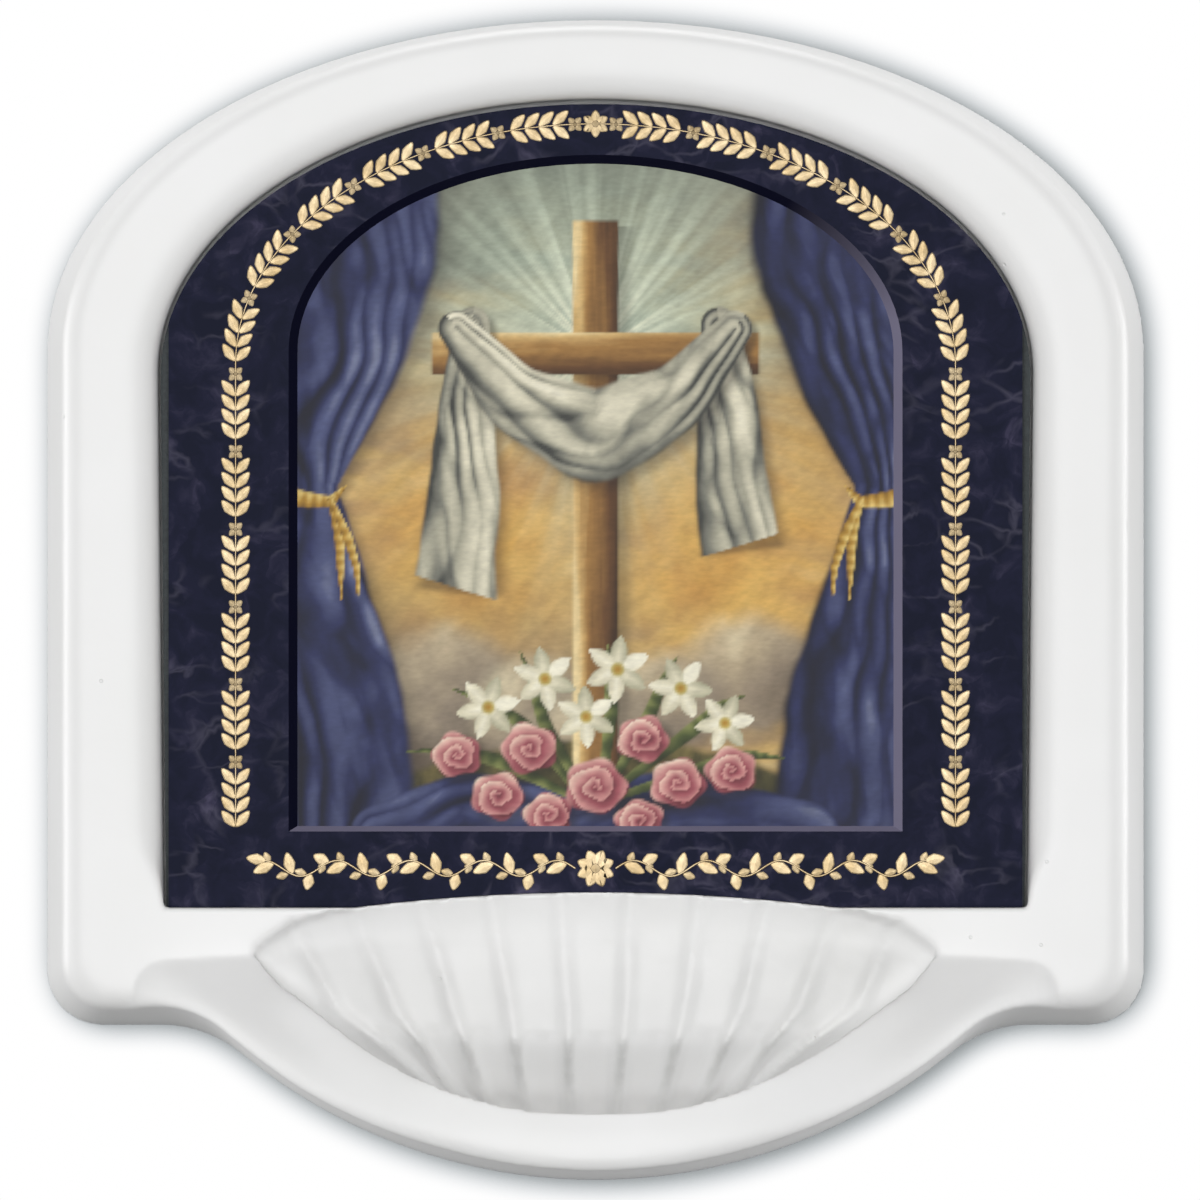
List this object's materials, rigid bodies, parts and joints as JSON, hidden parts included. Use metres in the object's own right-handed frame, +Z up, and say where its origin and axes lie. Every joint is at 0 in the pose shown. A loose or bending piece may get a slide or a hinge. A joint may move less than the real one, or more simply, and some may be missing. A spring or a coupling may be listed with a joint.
{
  "type": "holy water stoup",
  "caption": "Wall-hung holy water stoup: white cast font with an arched framed panel above a ribbed scallop-shell basin, hung on a keyhole plate.",
  "frame": {"origin": "centre of the keyhole's round entry in the steel hanger plate, on the wall plane", "axes": "+X to the viewer's right when facing the stoup, +Y into the wall, +Z up"},
  "size_m": [0.174, 0.0425, 0.184],
  "materials": {
    "cast_white": "satin",
    "hardboard": "matte",
    "print": "satin",
    "mat_board": "satin",
    "foam_tape": "matte",
    "zinc_steel": "satin",
    "screw_steel": "satin"
  },
  "bodies": {
    "root": {"font_body": "cast_white", "backing_board": "hardboard", "picture_sheet": "print", "window_mat": "mat_board", "mounting_tape": "foam_tape", "hanger_plate": "zinc_steel", "hanger_screws": "screw_steel"}
  },
  "joints": []
}
